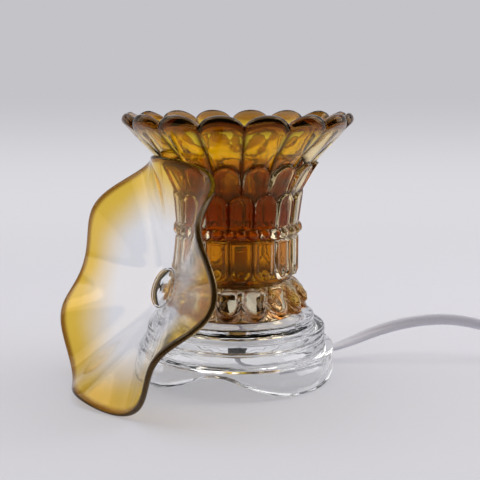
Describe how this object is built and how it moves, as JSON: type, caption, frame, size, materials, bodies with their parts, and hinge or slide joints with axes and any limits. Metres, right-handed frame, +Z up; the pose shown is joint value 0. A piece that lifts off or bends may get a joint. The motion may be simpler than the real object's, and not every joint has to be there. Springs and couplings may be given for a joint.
{
  "type": "wax melt warmer",
  "caption": "Pressed glass wax warmer lamp: stepped clear base with arched feet, amber flower shade over a small bulb, ruffled amber dish leaning on it, white cord with switch and plug.",
  "frame": {"origin": "on the surface the lamp stands on, under the middle of the base", "axes": "+Z up, -Y to the front, +X to the right, the side where the cord leaves"},
  "size_m": [0.3723, 0.205, 0.1403],
  "materials": {
    "clear_glass": "clear pressed glass",
    "amber_glass": "pressed clear glass with an amber coat inside",
    "amber_rim_glass": "clear glass shading to amber at the ruffled rim",
    "lamp_glass": "clear blown glass",
    "rubber_black": "soft black rubber",
    "steel": "zinc plated",
    "brass": "polished brass",
    "phenolic": "moulded insulating plastic",
    "card_liner": "pressed fibre board",
    "white_pvc": "white flexible plastic",
    "black_pvc": "black flexible plastic",
    "white_shell": "hard white plastic"
  },
  "bodies": {
    "lamp": {"cord_coil": "white_pvc", "cord_end": "white_pvc", "cord_lead": "white_pvc", "cord_tail": "white_pvc", "cord_tie": "black_pvc", "glass_base": "clear_glass", "holder_cap": "brass", "holder_contact": "brass", "holder_insulator": "phenolic", "holder_liner": "card_liner", "holder_screw_shell": "brass", "holder_shell": "brass", "nipple_bush": "phenolic", "nipple_nut": "brass", "plug_blades": "brass", "plug_body": "white_pvc", "rubber_washer_lower": "rubber_black", "rubber_washer_upper": "rubber_black", "steel_washer": "steel", "switch_axle": "steel", "switch_contacts": "brass", "switch_lower": "white_shell", "switch_screws": "steel", "switch_upper": "white_shell", "terminal_screws": "steel", "threaded_nipple": "brass", "wire_live": "black_pvc", "wire_neutral": "white_pvc"},
    "shade": {"glass_shade": "amber_glass"},
    "dish": {"glass_dish": "amber_rim_glass"},
    "bulb": {"bulb_cap": "brass", "bulb_contact": "brass", "bulb_filament": "steel", "bulb_glass": "lamp_glass", "bulb_insulator": "phenolic", "bulb_leads": "steel", "bulb_stem": "lamp_glass"},
    "switch_wheel": {"switch_wheel": "white_shell"}
  },
  "joints": [
    {"name": "dish_lift", "type": "slide", "parent": "lamp", "child": "dish", "axis": [-0.7652, -0.5142, 0.3875], "range_m": [0, 0.12]},
    {"name": "shade_lift", "type": "slide", "parent": "lamp", "child": "shade", "axis": [0, 0, 1], "range_m": [0, 0.12]},
    {"name": "bulb_out", "type": "slide", "parent": "lamp", "child": "bulb", "axis": [0, 0, 1], "range_m": [0, 0.09]},
    {"name": "switch_roll", "type": "hinge", "parent": "lamp", "child": "switch_wheel", "pos_m": [0.211, 0.007, 0.0114], "axis": [0, 1, 0], "range_deg": [0, 40]}
  ]
}
